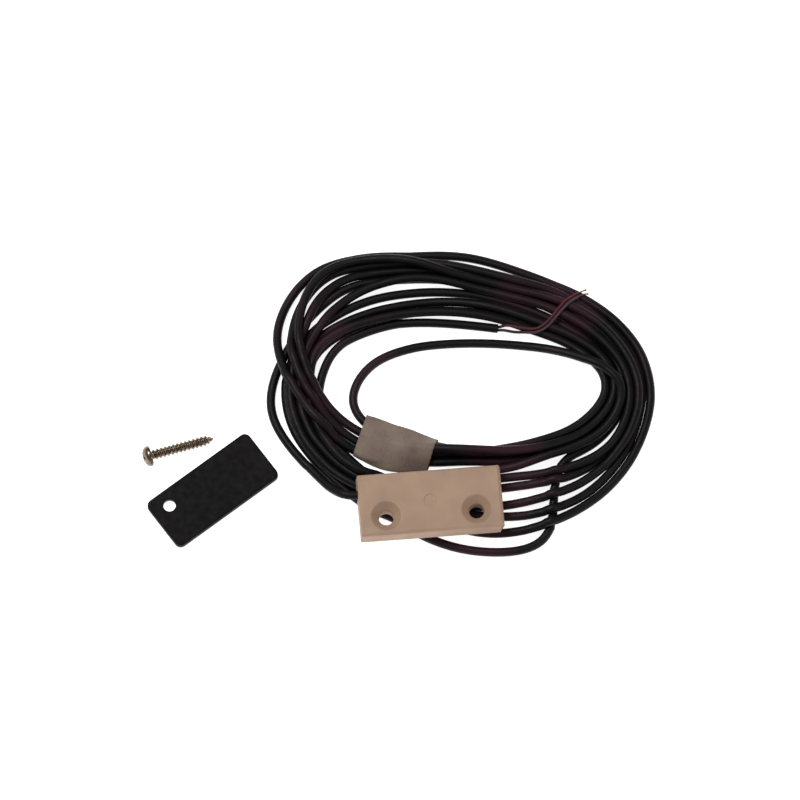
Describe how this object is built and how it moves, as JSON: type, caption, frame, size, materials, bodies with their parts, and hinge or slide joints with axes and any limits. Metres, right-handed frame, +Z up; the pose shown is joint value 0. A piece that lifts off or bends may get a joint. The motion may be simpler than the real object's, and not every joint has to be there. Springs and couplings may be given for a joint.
{
  "type": "door contact sensor",
  "caption": "Surface-mount reed switch block on a coiled cable, with a flat magnet plate and its screw.",
  "frame": {"origin": "on the table, at the bottom centre of the box round the switch, the magnet plate and the screw as they lie", "axes": "+X along the switch housing's long side away from its cable exit, +Y away from the viewer towards the coil, +Z up from the table"},
  "size_m": [0.1709, 0.1072, 0.0127],
  "materials": {
    "cream_plastic": "moulded, slightly satin",
    "resin": "cast",
    "reed_glass": "clear, greenish",
    "nickel_iron": "plated",
    "solder": "bright",
    "sleeve": "shrunk",
    "cable_jacket": "satin PVC",
    "red_insulation": "satin PVC",
    "black_insulation": "satin PVC",
    "bare_copper": "twisted strands",
    "masking_tape": "creped paper",
    "black_plastic": "matte",
    "magnet": "sintered ferrite",
    "backing": "matte sheet",
    "screw_steel": "zinc plated"
  },
  "bodies": {
    "switch": {"switch_housing": "cream_plastic", "back_cover": "cream_plastic", "potting_resin": "resin", "reed_capsule": "reed_glass", "reed_lead_near": "nickel_iron", "reed_lead_far": "nickel_iron", "solder_joints": "solder", "insulating_sleeves": "sleeve", "cable_jacket_end": "cable_jacket", "red_core": "red_insulation", "black_core": "black_insulation", "cable_lead": "cable_jacket", "cable_coil": "cable_jacket", "cable_loop": "cable_jacket", "cable_tail": "cable_jacket", "coil_tape": "masking_tape", "red_wire": "red_insulation", "black_wire": "black_insulation", "red_wire_tip": "bare_copper", "black_wire_tip": "bare_copper"},
    "actuator": {"actuator_casing": "black_plastic", "actuator_magnet": "magnet", "actuator_backing": "backing"},
    "screw": {"fixing_screw": "screw_steel"},
    "blade_near": {"reed_blade_near": "nickel_iron"},
    "blade_far": {"reed_blade_far": "nickel_iron"}
  },
  "joints": [
    {"name": "door_travel", "type": "slide", "parent": "switch", "child": "actuator", "axis": [-1, 0, 0], "range_m": [0, 0.06]},
    {"name": "screw_turn", "type": "hinge", "parent": "actuator", "child": "screw", "pos_m": [-0.0562, 0.0154, 0.0034], "axis": [0.9702, 0.224, -0.092], "continuous": true},
    {"name": "near_blade_flex", "type": "hinge", "parent": "switch", "child": "blade_near", "pos_m": [0.0334, -0.0054, 0.0092], "axis": [0, 0, -1], "range_deg": [0, 0.55], "stiffness_Nm_per_rad": 0.004},
    {"name": "far_blade_flex", "type": "hinge", "parent": "switch", "child": "blade_far", "pos_m": [0.0446, -0.0054, 0.0092], "axis": [0, 0, -1], "range_deg": [0, 0.55], "stiffness_Nm_per_rad": 0.004}
  ],
  "couplings": [
    {"joint": "far_blade_flex", "follows": "near_blade_flex", "ratio": 1}
  ]
}
